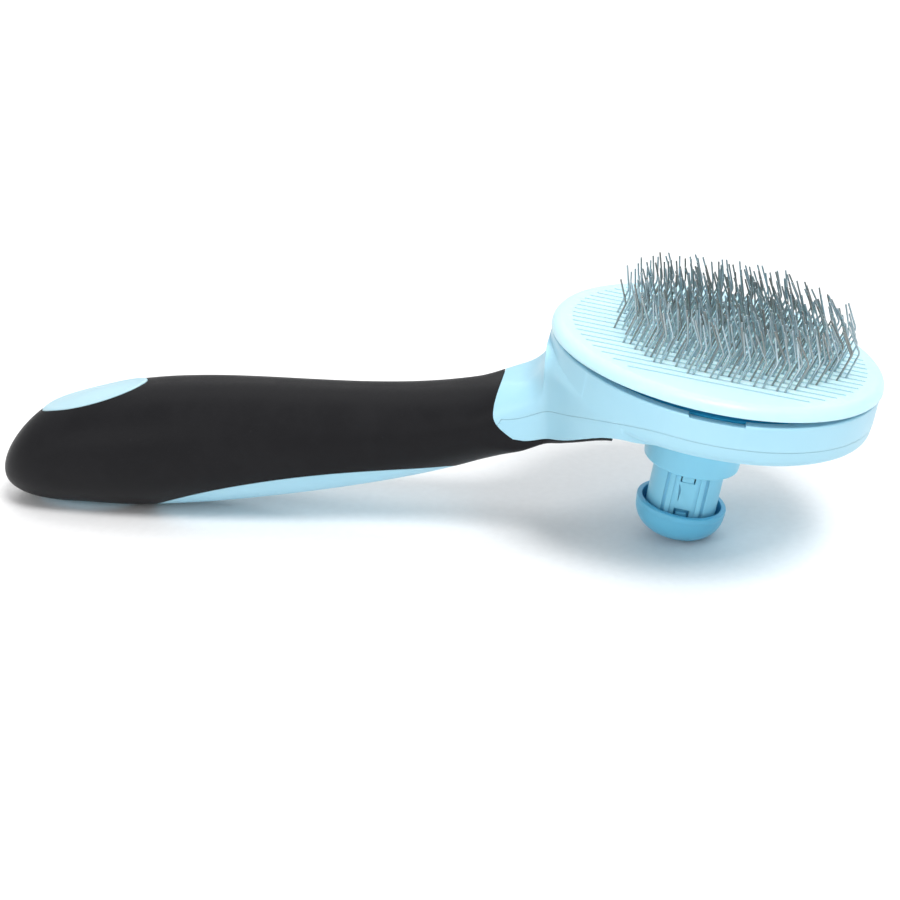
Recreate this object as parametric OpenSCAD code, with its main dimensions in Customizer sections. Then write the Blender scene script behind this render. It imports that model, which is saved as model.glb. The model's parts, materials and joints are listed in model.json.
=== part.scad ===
// Self-cleaning slicker brush, lying pins-up on the end of its handle and on its button.
// Millimetres. +X runs from the handle to the head, +Z is up, the floor is z = 0.
// The brush is mirror-symmetric about y = 0.
// The head is drawn in its own frame: h along the plunger axis (0 = underside of the
// cleaning plate), a toward the tip of the head, b across. That frame is tilted by `tilt`.

/* [Head] */
// Radius of the cleaning plate
plate_r = 39.9; // [36:0.1:42]
// Thickness of the cleaning plate
plate_t = 3; // [2.4:0.1:4]
// Rounding of the plate's upper edge
plate_round = 2.6; // [1:0.1:2.8]
// Outer radius of the head's wall
wall_r = 39.5; // [36:0.1:41]
// Thickness of the moulded walls
wall_t = 2.4; // [1.8:0.1:3]
// Depth of the joint line between the front and the rear shell
seam_d = 7.5; // [6.8:0.1:8.5]
// Depth of the rear shell's outer rim
rim_d = 11.5; // [10.5:0.1:13]
// Depth of the rear shell at the foot of the guide collar
dome_d = 15.5; // [14.5:0.1:17]
// Tilt of the head's axis, as it lies on the floor
tilt = 9.17; // [6:0.01:12]

/* [Pins] */
// Pitch between rows of pins, across the head
row_pitch = 2.9; // [2.7:0.1:3.2]
// Number of rows
rows = 21; // [15:2:21]
// Pitch between columns of staples, along the head
column_pitch = 5.05; // [4.8:0.05:5.6]
// Distance between the two legs of a staple
leg_gap = 1.6; // [1.2:0.1:2]
// Radius of the pin field
field_r = 28.8; // [26:0.1:31]
// Radius of the wire
wire_r = 0.25; // [0.2:0.01:0.3]
// Height of the knee in the wire, above the plate
knee_h = 6.3; // [5:0.1:7.5]
// Height of the tips, above the plate
tip_h = 12.5; // [11:0.1:13.5]
// Lean of the lower wire toward the tip of the head
lean_low = 15; // [8:1:18]
// Lean of the upper wire back toward the handle, at the middle of the head
lean_top = 22; // [12:1:28]
// Width of the slots in the plate
slot_w = 0.9; // [0.8:0.05:1.2]

/* [Button] */
// Outer radius of the plunger stem
stem_r = 8.75; // [8:0.05:9]
// Inner radius of the plunger stem
stem_bore = 7; // [6.6:0.1:7.2]
// Running clearance of the stem in the collar
run_fit = 0.08; // [0.04:0.01:0.1]
// Depth of the collar's lower rim
collar_d = 28.8; // [27:0.1:31]
// Outer radius of the collar at its lower rim
collar_r = 11.7; // [11.2:0.1:12.4]
// Radius of the button cap at its rim
cap_r = 11.2; // [10.6:0.1:12]
// Depth of the button cap's rim
cap_rim_d = 39.7; // [39:0.1:42]
// Depth of the button's pressing face
cap_d = 48.2; // [47:0.1:50]
// Radius of the rounding round the pressing face
cap_round = 6.6; // [5:0.1:6.8]
// Number of turns of the return spring
spring_turns = 9; // [7:1:11]

/* [Handle] */
// Distance from the plunger axis to the end of the handle
handle_len = 181.8; // [170:0.1:195]
// Where the rounded end of the handle begins
handle_rear = 165; // [155:0.5:168]
// Where the handle turns into the neck
neck_x = 52; // [50:0.5:54]
// Half width of the neck
neck_w = 12.8; // [12:0.1:14]
// Thickness of the rubber grip
grip_t = 2.4; // [2:0.1:3]
// Length of the oval inlay
inlay_len = 29; // [24:0.5:32]
// Width of the oval inlay
inlay_w = 14.2; // [8:0.1:16]

/* [Hidden] */
eps = 0.01;
$fn = 64;

// the pressing face just touches the floor
cap_flat = cap_r - cap_round - 0.1;
hz = cap_flat * sin(tilt) + (cap_d - cap_round) * cos(tilt) + cap_round;
// the brush is centred on the origin along X
x_right = (plate_r - plate_round) * cos(tilt) + (plate_t - plate_round) * sin(tilt) + plate_round;
x_shift = (handle_len - x_right) / 2;

pad_top = -2;
pad_low = -5.5;
backing_low = pad_low - 1.6;
lap_r = wall_r - wall_t / 2;
flange_low = 2.3 - rim_d;
crown_h = pad_low + wire_r;
lip_t = 2;
flange_t = 1.5;
guide_r = 10.5;
plug_top = 38.5;
cap_floor = 43.6;
prong_b = 2.5 * row_pitch;
field_a = 2.6;
columns = 12;

// ---------- helper shapes and curves ----------
function ramp(t) = let (c = min(max(t, 0), 1)) c * c * (3 - 2 * c);
function mix(p, q, t) = p * (1 - t) + q * t;

// fifth-order Bezier through a list of six control values
function curve(c, t) = len(c) == 1 ? c[0] : curve([for (i = [0:len(c) - 2]) mix(c[i], c[i + 1], t)], t);

// height of the plane at head level h, above a point x on the floor
function plane_z(x, h) = hz - x * tan(tilt) + h / cos(tilt);

// joint line and lower edge of the shells, side view
function seam_z(x) = plane_z(x, -seam_d) - curve([0, 0, 3.2, 3.6, 15, 15.5], min(max((-10 - x) / 40, 0), 1));
function edge_z(x) = plane_z(x, -rim_d) - ramp((-9 - x) / 10) - 15 * ramp((-18.5 - x) / 28.5);

// handle, side and plan view: t runs from the rounded end to the neck
function along(x) = (x + handle_rear) / (handle_rear - neck_x);
function handle_top(x) = curve([27.6, 36.5, 36.5, 34.5, 33.9, 39.5], along(x));
function handle_low(x) = max(0, curve([0, -1.2, 2.5, 7, 10.5, 20], along(x)));
function handle_w(x) = curve([14.3, 17, 16.6, 12.6, 12.6, neck_w], along(x));

// rounded end: 1 at its root, 0 at its tip
function end_part(x) = max(0, (-handle_rear - x) / (handle_len - handle_rear));
function end_k(x) = pow(max(0, 1 - pow(end_part(x), 2.7)), 1 / 2.7);

// neck: its top runs up into the head's wall on an arc, its sides flare into the same wall
function neck_top(x) = x < -46.67 ? 39.5 + 0.22 * (x + neck_x)
    : x < -39.65 ? 49.46 - sqrt(81 - pow(x + 48.6, 2))
    : plane_z(x, -3);
function chord_2(x) = pow(wall_r - 0.15 - 2.2 * ramp((x + 22) / 11), 2) - pow((x + 1.6) / cos(tilt), 2);
function flare(x) = 180 * ramp((x + 54) / 10) * ramp((-22 - x) / 14);
function soft_max(p, q, k) = (p + q + sqrt(pow(p - q, 2) + k * k)) / 2;
function neck_side(x) = sqrt(soft_max(neck_w * neck_w, chord_2(x), flare(x)));
function neck_low(x) = mix(20 + 0.46 * (x + neck_x), edge_z(x) - 3, ramp((x + 43) / 10));

function top_z(x) = x < -neck_x ? handle_top(x) : neck_top(x);
function low_z(x) = x < -neck_x ? handle_low(x) : neck_low(x);
function side_w(x) = x < -neck_x ? handle_w(x) : neck_side(x);

// one cross-section: an ellipse along the handle, a rounded box along the neck
function corner(cy, cz, ry, rz, from) =
    [for (i = [0:4]) [cy + ry * cos(from + 22.5 * i), cz + rz * sin(from + 22.5 * i)]];
function section(x, inset) =
    let (zt = top_z(x), zl = low_z(x), k = end_k(x), box = ramp((x + 58) / 14),
         mid = (zt + zl) / 2 - 2 * pow(end_part(x), 2),
         hh = max(0.3, (zt - zl) / 2 * k - inset), w = max(0.3, side_w(x) * k - inset),
         ry = mix(w, min(w, 7), box), rz = mix(hh, min(hh, 6), box),
         rb = mix(w, min(w, 14), box), rl = mix(hh, min(hh, 3.2), box))
    concat(corner(w - ry, mid + hh - rz, ry, rz, 0), corner(ry - w, mid + hh - rz, ry, rz, 90),
           corner(rb - w, mid - hh + rl, rb, rl, 180), corner(w - rb, mid - hh + rl, rb, rl, 270));

function ring3(x, inset) = [for (p = section(x, inset)) [x, p[0], p[1]]];

// skin between neighbouring cross-sections
module loft(xs, inset) {
  for (i = [0:len(xs) - 2]) {
    first = ring3(xs[i], inset);
    second = ring3(xs[i + 1], inset);
    count = len(first);
    hull() polyhedron(points = concat(first, second),
                      faces = [[for (j = [0:count - 1]) j], [for (j = [0:count - 1]) 2 * count - 1 - j]]);
  }
}

end_xs = [for (i = [1:6]) -handle_rear - (handle_len - handle_rear) * cos(15 * i - 13)];
inner_end_xs = [for (i = [0:3]) -handle_rear - (handle_len - handle_rear - 3) * cos(24 * i)];
handle_xs = [for (i = [0:12]) -handle_rear + i * (handle_rear - 58) / 12];
neck_xs = [-55, -52, -49, -46.5, -44.5, -43, -41.8, -40.8, -40.2, -39.7, -39.4, -38.4, -37.2, -35.8,
           -34, -31.5, -28, -24.5, -22.5];
rim_xs = [-20.5, -18.5, -16, -13.5, -11];
core_xs = concat(inner_end_xs, handle_xs, [-55, -52, -49, -46]);
hollow_xs = [for (i = [0:12]) -170 + i * 10];

// everything in the head's own frame
module in_head() {
  translate([0, 0, hz]) rotate([0, tilt, 0]) children();
}

// everything is drawn with the plunger axis near x = 0, then centred
module placed() {
  translate([x_shift, 0, 0]) children();
}

// a side-view outline, run right across the brush
module across(points) {
  rotate([90, 0, 0]) linear_extrude(height = 120, center = true) polygon(points);
}

// side-view region of the bare neck: behind the grip's curved front edge, above its tongue
module neck_zone() {
  rise = [for (i = [0:10]) let (z = 34.4 + 0.95 * (10 - i)) [-52.1 + 0.037 * pow(z - 34.4, 2), z]];
  fall = [for (i = [1:5]) let (z = 34.4 - 1.2 * i) [-52.1 + 0.139 * pow(z - 34.4, 2), z]];
  low = [for (i = [0:15]) let (x = -44.5 + 2.25 * i) [x, edge_z(x)]];
  across(concat([[60, 90], [-48.6, 90]], rise, fall, low, [[-10, 26], [60, 0]]));
}

// side-view region of the bare spine along the underside
module spine_zone() {
  swoosh = [for (i = [0:12]) let (t = i / 12)
            [curve([-143.5, -136, -100, -64], t), curve([-1, 9, 17.5, 18.2], t)]];
  across(concat([[-144, -5]], swoosh, [[-62.4, 17.6], [-61.2, 16], [-60.8, 13], [-62, -5]]));
  // a second, oval opening near the rounded end
  translate([-160, 0, -5]) scale([1.85, 1, 1]) cylinder(r = 7.6, h = 14, $fn = 48);
}

// side-view region above the joint between the two shells
module front_zone() {
  line = [for (i = [0:27]) let (x = -50 + 1.5 * i) [x, seam_z(x)]];
  core = [for (i = [0:12]) let (x = -185 + i * 11) [x, (handle_top(max(x, -165)) + handle_low(max(x, -165))) / 2 - 2]];
  across(concat([[-185, 90]], core, line, [[60, plane_z(60, -seam_d)], [60, 90]]));
}

// the head's drum, from its saddle-shaped rim down
module drum(depth) {
  difference() {
    in_head() rotate_extrude($fn = 72)
      polygon([[0, 0.5], [wall_r, 0.5], [wall_r, -seam_d], [wall_r - 0.3, 2 - depth],
               [wall_r - 0.9, 0.6 - depth], [wall_r - 2.3, -depth], [0, -depth]]);
    in_head() rotate([90, 0, 90]) linear_extrude(height = 100, center = true)
      polygon(concat([[45, 5], [-45, 5]], [for (i = [-15:15]) [3 * i, -0.35 - pow(3 * i, 2) / 1050]]));
  }
}

// dome under the head, down to the foot of the collar
module dome() {
  in_head() rotate_extrude($fn = 72)
    polygon([[0, 1 - rim_d], [wall_r - 3, 1 - rim_d], [wall_r - 3, -rim_d], [14.2, -dome_d], [0, -dome_d]]);
}

// ---------- moulded body ----------
module cavity() {
  loft(hollow_xs, grip_t + 2.6);
  difference() {
    loft([-51, -48, -45, -42.5, -40.8, -39.6, -38.2, -36.5, -34, -31, -28, -24, -20], wall_t);
    across([[-60, 0], [-60, edge_z(-44) + 2.2], [-46, edge_z(-46) + 2.2], [-40, edge_z(-40) + 2.2],
            [-35, edge_z(-35) + 2.2], [-30, edge_z(-30) + 2.2], [-25, edge_z(-25) + 2.2],
            [-18, edge_z(-18) + 2.2], [-10, 0]]);
  }
}

module bare_body() {
  intersection() {
    loft(concat([-55, -53], [for (x = neck_xs) if (x > -53) x], rim_xs), 0);
    neck_zone();
  }
  loft(core_xs, grip_t);
}

module front_shell() {
  color("skyblue") placed() difference() {
    union() {
      difference() {
        intersection() {
          union() {
            bare_body();
            drum(rim_d);
          }
          front_zone();
        }
        cavity();
      }
      // inner flange, lapped inside the rear shell's wall
      in_head() rotate_extrude($fn = 72)
        polygon([[33.5, flange_low], [lap_r, flange_low], [lap_r, -6.9], [33.5, -6.9]]);
    }
    // room for the pin pad and its backing plate, over the flange
    in_head() translate([0, 0, backing_low]) cylinder(r = wall_r - wall_t, h = 20, $fn = 72);
    in_head() translate([0, 0, -20]) cylinder(r = 33, h = 30, $fn = 72);
    // pilot holes for the pad screws and the shell screws
    for (q = [0:3]) in_head() rotate([0, 0, 90 * q]) translate([34.6, 0, -12]) cylinder(r = 1.04, h = 8, $fn = 32);
    for (p = [[40, 1], [105, 1], [-40, 1], [-105, 1]])
      in_head() rotate([0, 0, p[0]]) translate([34.8, 0, -12]) cylinder(r = 1.04, h = 8, $fn = 32);
    // shallow window in the rim, where the plate can be lifted out
    in_head() translate([0.9, -wall_r, -1.3]) cube([12.6, 8, 2], center = true);
  }
}

module rear_shell() {
  color("lightblue") placed() difference() {
    union() {
      bare_body();
      drum(rim_d);
      // bare spine, level with the grip's surface
      intersection() {
        loft(concat([-181.5], [for (x = end_xs) if (x > -181) x], handle_xs), 0.02);
        spine_zone();
      }
      dome();
    }
    front_zone();
    cavity();
    // inside of the head, with a sloping floor
    in_head() rotate_extrude($fn = 72)
      polygon([[0, 5], [lap_r + 0.1, 5], [lap_r + 0.1, 2.2 - rim_d], [33, 2.2 - rim_d],
               [14, 2.2 - dome_d], [12.7, 2.2 - dome_d], [12.7, -30], [0, -30]]);
    for (p = [40, 105, -40, -105]) in_head() rotate([0, 0, p]) {
      translate([34.8, 0, -14]) cylinder(r = 1.15, h = 8, $fn = 24);
      translate([34.8, 0, -14]) cylinder(r = 2.36, h = 14 - rim_d + 0.9, $fn = 30);
    }
  }
}

module guide_collar() {
  color("lightblue") placed() in_head() rotate_extrude()
    polygon([[guide_r, -11.8], [16, -11.8], [16, 2.2 - dome_d + 0.75], [12.6, 2.2 - dome_d],
             [12.6, -dome_d], [collar_r + 0.1, 0.8 - collar_d], [collar_r - 0.2, 0.25 - collar_d],
             [collar_r - 0.8, -collar_d], [stem_r + run_fit, -collar_d],
             [stem_r + run_fit, lip_t - collar_d], [guide_r, lip_t - collar_d]]);
}

module rubber_grip() {
  color("#202024") placed() difference() {
    loft(concat(end_xs, handle_xs, neck_xs), 0);
    loft(core_xs, grip_t);
    neck_zone();
    spine_zone();
    dome();
    inlay_prism(inlay_len, inlay_w);
  }
}

module inlay_prism(length, width) {
  translate([-156.7, 0, 12]) scale([length / width, 1, 1]) cylinder(d = width, h = 40, $fn = 48);
}

module end_inlay() {
  color("skyblue") placed() difference() {
    union() {
      intersection() {
        loft(concat([for (x = end_xs) if (x > -177) x], [for (x = handle_xs) if (x < -135) x]), -0.25);
        difference() {
          inlay_prism(inlay_len - 0.2, inlay_w - 0.2);
          inlay_prism(inlay_len - 2, inlay_w - 2);
        }
      }
      intersection() {
        loft(concat([for (x = end_xs) if (x > -177) x], [for (x = handle_xs) if (x < -135) x]), 0.25);
        inlay_prism(inlay_len - 1.9, inlay_w - 1.9);
      }
    }
    loft(core_xs, grip_t);
  }
}

// ---------- cleaning plate and pins ----------
module cleaning_plate() {
  color("lightcyan") placed() in_head() difference() {
    rotate_extrude() union() {
      square([plate_r - plate_round, plate_t]);
      square([plate_r, plate_t - plate_round]);
      translate([plate_r - plate_round, plate_t - plate_round]) circle(r = plate_round);
    }
    // the lower half of the rounding is cut off level with the underside
    translate([0, 0, -5]) cylinder(r = 50, h = 5);
    for (r = [0:rows - 1]) {
      b = (r - (rows - 1) / 2) * row_pitch;
      half = sqrt(pow(35.5, 2) - b * b);
      translate([-half, b - slot_w / 2, -1]) cube([2 * half, slot_w, plate_t + 2]);
    }
  }
}

module pin_pad() {
  color("#9fb4bd") placed() in_head() difference() {
    union() {
      translate([0, 0, -5]) cylinder(r = 36.6, h = pad_top + 5);
      difference() {
        translate([0, 0, pad_low]) cylinder(r = 36.6, h = 0.5 + eps);
        translate([0, 0, pad_low - 1]) cylinder(r = 35.6, h = 3);
      }
    }
    for (s = [-1, 1]) translate([-4.2, s * prong_b - 0.9, pad_low - 1]) cube([8.4, 1.8, 6]);
  }
}

module pin_backing_plate() {
  color("gainsboro") placed() in_head() difference() {
    union() {
      translate([0, 0, backing_low]) cylinder(r = 36.6, h = 1.6);
      translate([0, 0, backing_low - 1.4]) cylinder(r = 4.7, h = 2);
    }
    for (s = [-1, 1]) translate([-4.2, s * prong_b - 0.9, backing_low - 1]) cube([8.4, 1.8, 4]);
    for (q = [0:3]) rotate([0, 0, 90 * q]) translate([34.6, 0, backing_low - 1]) {
      cylinder(r = 1.05, h = 4, $fn = 32);
      translate([0, 0, 1.6]) cylinder(r1 = 1.05, r2 = 2.05, h = 1 + eps, $fn = 32);
    }
  }
}

// one staple: two bent legs joined by a crown under the pad
module wire(from, to) {
  run = to - from;
  size = norm(run);
  translate([from[0], 0, from[1]]) rotate([0, atan2(run[0], run[1]), 0])
    cylinder(r = wire_r, h = size, $fn = 32);
}

module staple(lean) {
  knee = plate_t + knee_h;
  tip = plate_t + tip_h;
  low = (knee - crown_h) * tan(lean_low);
  high = (tip - knee) * tan(lean);
  for (s = [-1, 1]) {
    wire([s * leg_gap / 2, crown_h], [s * leg_gap / 2 + low + 0.05, knee + 0.1]);
    wire([s * leg_gap / 2 + low, knee], [s * leg_gap / 2 + low - high, tip]);
  }
  wire([-leg_gap / 2 - wire_r, crown_h], [leg_gap / 2 + wire_r, crown_h]);
}

// a column of staples; every other row stands half a pitch further along
module pins_column(c) {
  color("#8c9499") placed() in_head() for (r = [0:rows - 1]) {
    a = field_a + (c - (columns + 1) / 2 + 0.25 - 0.5 * (r % 2)) * column_pitch;
    root = a - (plate_t - crown_h) * tan(lean_low);
    b = (r - (rows - 1) / 2) * row_pitch;
    if (norm([a - field_a, b]) < field_r) translate([root, b, 0]) staple(lean_top + 0.25 * a);
  }
}

// ---------- plunger ----------
module plunger_stem() {
  color("skyblue") placed() in_head() difference() {
    union() {
      translate([0, 0, -cap_floor]) cylinder(r = stem_r, h = cap_floor - 18.6);
      // stop flange, resting on the collar's lip
      translate([0, 0, lip_t - collar_d]) cylinder(r = guide_r - 0.3, h = flange_t);
      // two prongs that carry the cleaning plate
      for (s = [-1, 1]) translate([-3.8, s * prong_b - 0.6, -22]) cube([7.6, 1.2, 22]);
    }
    translate([0, 0, -50]) cylinder(r = stem_bore, h = 28.1);
    translate([0, 0, -22]) cylinder(r = 6.55, h = 30);
    for (s = [-1, 1]) {
      // sunk panel between two ribs, and a groove outside each rib
      translate([-3.1, s * 8.8 - 1, -cap_floor - 1]) cube([6.2, 2, cap_floor - 26.5]);
      for (side = [-1, 1])
        translate([side * 4.7 - 0.4, s * 8 - 1.3, -cap_floor - 1]) cube([0.8, 2.6, cap_floor - 26.5]);
      // snap windows
      translate([-1.9, s * 8 - 1.5, -41.7]) cube([3.8, 3, 2.8]);
      translate([-1.8, s * 8 - 1.5, -31.7]) cube([3.6, 3, 2.4]);
    }
    // thin tapering slit beside the middle of the front panel
    translate([-1.45, -6, -34.6]) rotate([90, 0, 0]) linear_extrude(height = 3)
      polygon([[-0.5, 2.1], [-0.25, 2.1], [0.45, 0.6], [0.2, -2.2], [0.05, -2.2], [-0.35, 0.9]]);
    // outer flats, to leave the two prongs free above the tube
    for (s = [-1, 1]) translate([-10, s * 9.4 - 1.55, -21]) cube([20, 3.1, 3]);
  }
}

module button_cap() {
  mid_r = cap_r - cap_round - 0.1;
  color("deepskyblue") placed() in_head() union() {
    difference() {
      union() {
        rotate_extrude() union() {
          translate([0, cap_round - cap_d]) square([cap_r - 0.1, cap_d - cap_round - cap_rim_d - 0.5]);
          polygon([[0, 0.6 - cap_rim_d - 2], [cap_r, 0.6 - cap_rim_d - 2], [cap_r, -cap_rim_d - 0.4],
                   [cap_r - 0.4, -cap_rim_d], [0, -cap_rim_d]]);
          intersection() {
            translate([mid_r, cap_round - cap_d]) circle(r = cap_round);
            translate([0, -cap_d]) square([cap_r, cap_round + 1]);
          }
          translate([0, -cap_d]) square([mid_r, cap_round + 0.5]);
        }
      }
      difference() {
        translate([0, 0, -cap_floor]) cylinder(r = 9.9, h = 8);
        translate([0, 0, -cap_floor - 1]) cylinder(r = stem_bore - 0.1, h = 12);
      }
    }
    // plug inside the stem, with two snap tongues
    translate([0, 0, -cap_floor - 1]) cylinder(r = stem_bore - 0.1, h = cap_floor + 1 - plug_top);
    for (s = [-1, 1]) translate([-1.3, s * 7.1 - 0.9, -41.5]) cube([2.6, 1.8, 1.8]);
  }
}

// helical return spring between the backing plate and the plug
module return_spring() {
  coil_r = 5.6;
  coil_wire = 0.5;
  steps = 14;
  sides_n = 6;
  start = -plug_top + coil_wire + 0.05;
  finish = backing_low - coil_wire - 0.05;
  total = spring_turns * steps;
  function lift(i) = let (t = i / total) t < 1 / spring_turns ? t * 0.25
      : t > 1 - 1 / spring_turns ? 1 - (1 - t) * 0.25
      : mix(0.25 / spring_turns, 1 - 0.25 / spring_turns, (t - 1 / spring_turns) / (1 - 2 / spring_turns));
  points = [for (i = [0:total], j = [0:sides_n - 1])
            let (w = 360 * i / steps, v = 360 * j / sides_n, rr = coil_r + coil_wire * cos(v))
            [rr * cos(w), rr * sin(w), mix(start, finish, lift(i)) + coil_wire * sin(v)]];
  sides = [for (i = [0:total - 1], j = [0:sides_n - 1])
           let (k = sides_n * i, next = (j + 1) % sides_n) [k + j, k + next, k + sides_n + next, k + sides_n + j]];
  first = [for (j = [0:sides_n - 1]) sides_n - 1 - j];
  last = [for (j = [0:sides_n - 1]) sides_n * total + j];
  color("silver") placed() in_head()
    polyhedron(points = points, faces = concat(sides, [first], [last]), convexity = 8);
}

// ---------- screws ----------
module pad_screws() {
  color("dimgray") placed() in_head() for (q = [0:3]) rotate([0, 0, 90 * q]) translate([34.6, 0, 0])
    difference() {
      union() {
        translate([0, 0, flange_low + 0.4]) cylinder(r = 1, h = 2.7, $fn = 32);
        translate([0, 0, pad_low - 1]) cylinder(r1 = 1, r2 = 2, h = 1, $fn = 32);
      }
      translate([0, 0, pad_low - 0.2]) cube([2.4, 0.5, 1.2], center = true);
      translate([0, 0, pad_low - 0.2]) cube([0.5, 2.4, 1.2], center = true);
    }
}

module shell_screws() {
  color("dimgray") placed() in_head() for (p = [40, 105, -40, -105]) rotate([0, 0, p])
    translate([34.8, 0, 0]) difference() {
      union() {
        translate([0, 0, -rim_d + 0.9]) cylinder(r = 1, h = 3.4, $fn = 32);
        translate([0, 0, -rim_d - 0.1]) cylinder(r = 2.1, h = 1, $fn = 32);
      }
      translate([0, 0, -rim_d]) cube([2.4, 0.5, 1.2], center = true);
      translate([0, 0, -rim_d]) cube([0.5, 2.4, 1.2], center = true);
    }
}

front_shell();
rear_shell();
guide_collar();
rubber_grip();
end_inlay();
cleaning_plate();
pin_pad();
pin_backing_plate();
pins_column(1);  // pins_column_01
pins_column(2);  // pins_column_02
pins_column(3);  // pins_column_03
pins_column(4);  // pins_column_04
pins_column(5);  // pins_column_05
pins_column(6);  // pins_column_06
pins_column(7);  // pins_column_07
pins_column(8);  // pins_column_08
pins_column(9);  // pins_column_09
pins_column(10);  // pins_column_10
pins_column(11);  // pins_column_11
pins_column(12);  // pins_column_12
plunger_stem();
button_cap();
return_spring();
pad_screws();
shell_screws();
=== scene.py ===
"""Looks of the self-cleaning slicker brush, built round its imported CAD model.

The brush lies pins-up on the end of its handle and on its button. Everything is in metres in
the model's own frame. Design sizes are written in millimetres and scaled when a mesh is made.
A point on the body is measured from the plunger's axis: x toward the tip of the head, z from
the floor. A point of the head is in the head's tilted frame, with z = 0 at the underside of
the cleaning plate.
"""

import json
import math
import random

import bmesh
import bpy
import numpy as np
from mathutils import Matrix, Quaternion, Vector


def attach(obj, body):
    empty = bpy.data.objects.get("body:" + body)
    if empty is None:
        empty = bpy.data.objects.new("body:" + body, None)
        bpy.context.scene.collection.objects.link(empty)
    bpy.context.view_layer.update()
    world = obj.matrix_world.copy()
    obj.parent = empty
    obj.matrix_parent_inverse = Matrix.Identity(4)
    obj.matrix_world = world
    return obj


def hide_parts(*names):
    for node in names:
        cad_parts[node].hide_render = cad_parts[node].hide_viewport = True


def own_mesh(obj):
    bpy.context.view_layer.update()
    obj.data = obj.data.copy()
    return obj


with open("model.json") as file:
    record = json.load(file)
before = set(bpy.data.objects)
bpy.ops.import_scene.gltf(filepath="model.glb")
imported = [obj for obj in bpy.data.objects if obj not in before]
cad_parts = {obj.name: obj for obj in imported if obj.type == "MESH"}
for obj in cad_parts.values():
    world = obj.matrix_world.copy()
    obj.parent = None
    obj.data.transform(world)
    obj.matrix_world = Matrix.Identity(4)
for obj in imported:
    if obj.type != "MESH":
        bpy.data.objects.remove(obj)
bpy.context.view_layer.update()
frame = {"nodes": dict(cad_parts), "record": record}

MM = 0.001
scene = bpy.context.scene

# ---------------------------------------------------------------- sizes, in millimetres
PLATE_R, PLATE_T, PLATE_ROUND = 39.9, 3.0, 2.6
SLOT_ROWS, ROW_PITCH, SLOT_W, SLOT_REACH = 21, 2.9, 0.9, 35.5
WALL_R, WALL_T = 39.5, 2.4
SEAM_D, RIM_D, DOME_D = 7.5, 11.5, 15.5
BACKING_LOW, FLANGE_LOW, LAP_R = -7.1, -9.2, 38.3
SEAM_GAP = 0.06
FLANGE_BORE, HEAD_BORE = 33.5, 33.0
SCREW_RING_R, SCREW_TURNS = 34.8, (40, 105, -40, -105)
SCREW_HOLE_R, SCREW_HEAD_R, SCREW_HEAD_D = 1.15, 2.36, 0.9

PIN_COLUMNS, COLUMN_PITCH, LEG_GAP = 12, 5.05, 1.6
FIELD_R, FIELD_A, WIRE_R = 28.8, 2.6, 0.225
CROWN_H, KNEE_H, TIP_H = -5.25, 6.3, 12.5
LEAN_LOW, LEAN_TOP, LEAN_SPREAD = 15.0, 22.0, 0.25

STEM_R, STEM_BORE, RUN_FIT = 8.75, 7.0, 0.08
STEM_TOP, PRONG_TOP, PRONG_B = -18.6, -0.02, 2.5 * ROW_PITCH
GUIDE_R, COLLAR_D, COLLAR_R, LIP_T, FLANGE_T = 10.5, 28.8, 11.7, 2.0, 1.5
CAP_R, CAP_RIM_D, CAP_D, CAP_ROUND = 11.2, 39.7, 48.2, 6.6
CAP_FLOOR, PLUG_TOP = 43.6, 38.5
SPRING_TURNS, COIL_R, COIL_WIRE = 9, 5.6, 0.5

HANDLE_END, HANDLE_REAR, NECK_X, NECK_W = -181.8, -165.0, -52.0, 12.8
COVE_START, COVE_END = -46.67, -39.65
GRIP_T, GRIP_GAP = 2.4, 0.14
INLAY_X, INLAY_LEN, INLAY_W = -156.7, 29.0, 14.2

# ---------------------------------------------------------------- places, from the frame
button_face = frame["record"]["mounts"][0]
up_axis = -Vector(button_face["axis"])
TILT = math.atan2(up_axis.x, up_axis.z)
head_origin = Vector(button_face["pos_m"]) + up_axis * CAP_D * MM
HZ = head_origin.z / MM
HEAD = Matrix.Translation(head_origin) @ Matrix.Rotation(TILT, 4, "Y") @ Matrix.Scale(MM, 4)
BODY = Matrix.Translation((head_origin.x, 0, 0)) @ Matrix.Scale(MM, 4)


# ---------------------------------------------------------------- outlines and curves
def ramp(t):
    t = min(max(t, 0.0), 1.0)
    return t * t * (3 - 2 * t)


def mix(p, q, t):
    return p * (1 - t) + q * t


def curve(values, t):
    """A Bezier curve through its first and last control values."""
    while len(values) > 1:
        values = [mix(p, q, t) for p, q in zip(values, values[1:])]
    return values[0]


def span(first, last, count):
    return [mix(first, last, i / (count - 1)) for i in range(count)]


def rounded(corners, steps=6):
    """A closed outline whose corners (r, z, radius) are each rounded by their own radius."""
    outline = []
    for i, (r, z, radius) in enumerate(corners):
        here = Vector((r, z))
        if radius == 0:
            outline.append((r, z))
            continue
        before = (Vector(corners[i - 1][:2]) - here).normalized()
        after = (Vector(corners[(i + 1) % len(corners)][:2]) - here).normalized()
        half = before.angle(after) / 2
        centre = here + (before + after).normalized() * radius / math.sin(half)
        start = here + before * radius / math.tan(half) - centre
        end = here + after * radius / math.tan(half) - centre
        first = math.atan2(start.y, start.x)
        sweep = (math.atan2(end.y, end.x) - first + math.pi) % (2 * math.pi) - math.pi
        for k in range(steps + 1):
            angle = first + sweep * k / steps
            outline.append((centre.x + radius * math.cos(angle), centre.y + radius * math.sin(angle)))
    return outline


def plane_z(x, h):
    """Height, above a point x on the floor, of the plane at head level h."""
    return HZ - x * math.tan(TILT) + h / math.cos(TILT)


def seam_z(x):
    return plane_z(x, -SEAM_D) - curve([0, 0, 3.2, 3.6, 15, 15.5], min(max((-10 - x) / 40, 0), 1))


def edge_z(x):
    return plane_z(x, -RIM_D) - ramp((-9 - x) / 10) - 15 * ramp((-18.5 - x) / 28.5)


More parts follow.
